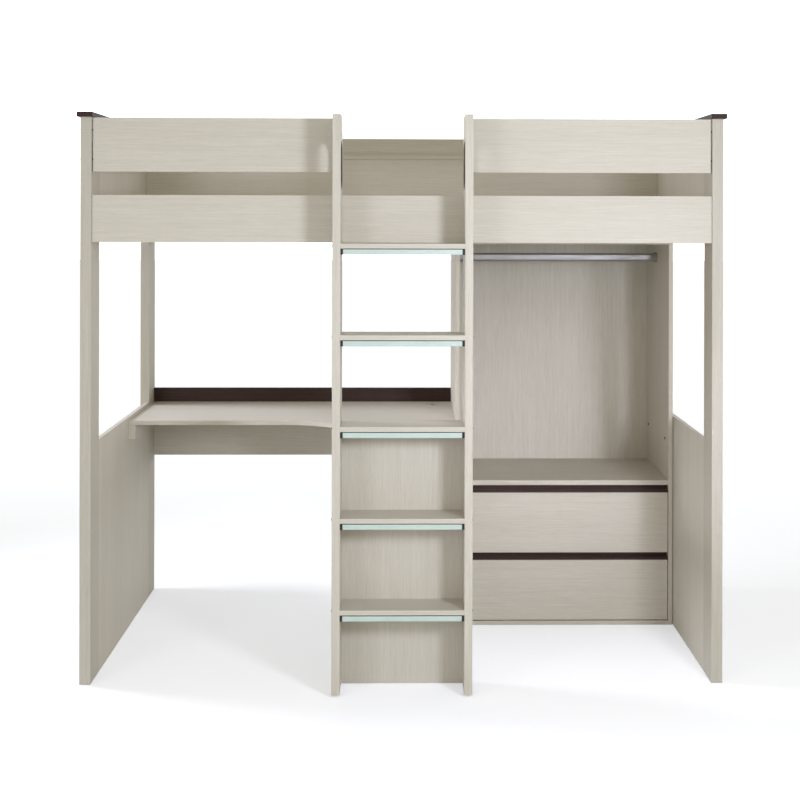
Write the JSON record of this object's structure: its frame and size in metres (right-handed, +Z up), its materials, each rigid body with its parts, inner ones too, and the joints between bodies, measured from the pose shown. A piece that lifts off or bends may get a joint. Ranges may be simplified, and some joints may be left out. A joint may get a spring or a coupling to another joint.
{
  "type": "high sleeper bed",
  "caption": "Raised single bed on panelled end frames with a fixed central ladder, a corner desk below one half and an open wardrobe over drawers below the other.",
  "frame": {"origin": "on the floor, at the middle of the footprint's box", "axes": "+Z up, +X along the mattress towards the wardrobe end, -Y towards the ladder side"},
  "size_m": [2.113, 1.257, 1.858],
  "materials": {
    "pale_laminate": "fine-grained greige melamine",
    "dark_laminate": "dark brown melamine",
    "bare_wood": "planed softwood",
    "black_plastic": "fine matt black",
    "mint_plastic": "pale mint, satin",
    "satin_steel": "satin plated",
    "dark_steel": "blackened"
  },
  "bodies": {
    "bed": {"barrel_nuts": "dark_steel", "bed_bolts": "dark_steel", "bed_slats": "bare_wood", "bedside_ledge": "pale_laminate", "cable_outlet": "black_plastic", "desk_apron": "pale_laminate", "desk_cleats": "pale_laminate", "desk_top": "pale_laminate", "desk_upstand": "dark_laminate", "drawer_runners": "black_plastic", "front_rail": "pale_laminate", "hanging_rail": "satin_steel", "ladder_glides": "black_plastic", "ladder_panel": "pale_laminate", "ladder_screws": "dark_steel", "left_cap": "dark_laminate", "left_front_post": "pale_laminate", "left_grip": "black_plastic", "left_guard": "pale_laminate", "left_lower_panel": "pale_laminate", "left_rear_post": "pale_laminate", "left_stringer": "pale_laminate", "left_upper_panel": "pale_laminate", "rail_sockets": "satin_steel", "rear_guard": "pale_laminate", "right_cap": "dark_laminate", "right_front_post": "pale_laminate", "right_grip": "black_plastic", "right_guard": "pale_laminate", "right_lower_panel": "pale_laminate", "right_rear_post": "pale_laminate", "right_stringer": "pale_laminate", "right_upper_panel": "pale_laminate", "slat_bearers": "bare_wood", "tread_1": "pale_laminate", "tread_2": "pale_laminate", "tread_3": "pale_laminate", "tread_4": "pale_laminate", "tread_5": "pale_laminate", "tread_channels": "black_plastic", "tread_glow_strips": "mint_plastic", "wardrobe_back": "pale_laminate", "wardrobe_base": "pale_laminate", "wardrobe_left_side": "pale_laminate", "wardrobe_right_side": "pale_laminate", "wardrobe_screws": "dark_steel", "wardrobe_shelf": "pale_laminate", "wardrobe_top": "pale_laminate", "well_wall": "pale_laminate"},
    "lower_drawer": {"lower_drawer_back": "pale_laminate", "lower_drawer_bottom": "pale_laminate", "lower_drawer_front": "pale_laminate", "lower_drawer_pull": "dark_laminate", "lower_drawer_sides": "pale_laminate"},
    "upper_drawer": {"upper_drawer_back": "pale_laminate", "upper_drawer_bottom": "pale_laminate", "upper_drawer_front": "pale_laminate", "upper_drawer_pull": "dark_laminate", "upper_drawer_sides": "pale_laminate"},
    "outlet_cap": {"cable_outlet_cap": "black_plastic"}
  },
  "joints": [
    {"name": "lower_drawer_slide", "type": "slide", "parent": "bed", "child": "lower_drawer", "axis": [0, -1, 0], "range_m": [0, 0.3]},
    {"name": "upper_drawer_slide", "type": "slide", "parent": "bed", "child": "upper_drawer", "axis": [0, -1, 0], "range_m": [0, 0.3]},
    {"name": "outlet_cap_turn", "type": "hinge", "parent": "bed", "child": "outlet_cap", "pos_m": [0.12, 0.5265, 0.767], "axis": [0, 0, 1], "continuous": true}
  ]
}
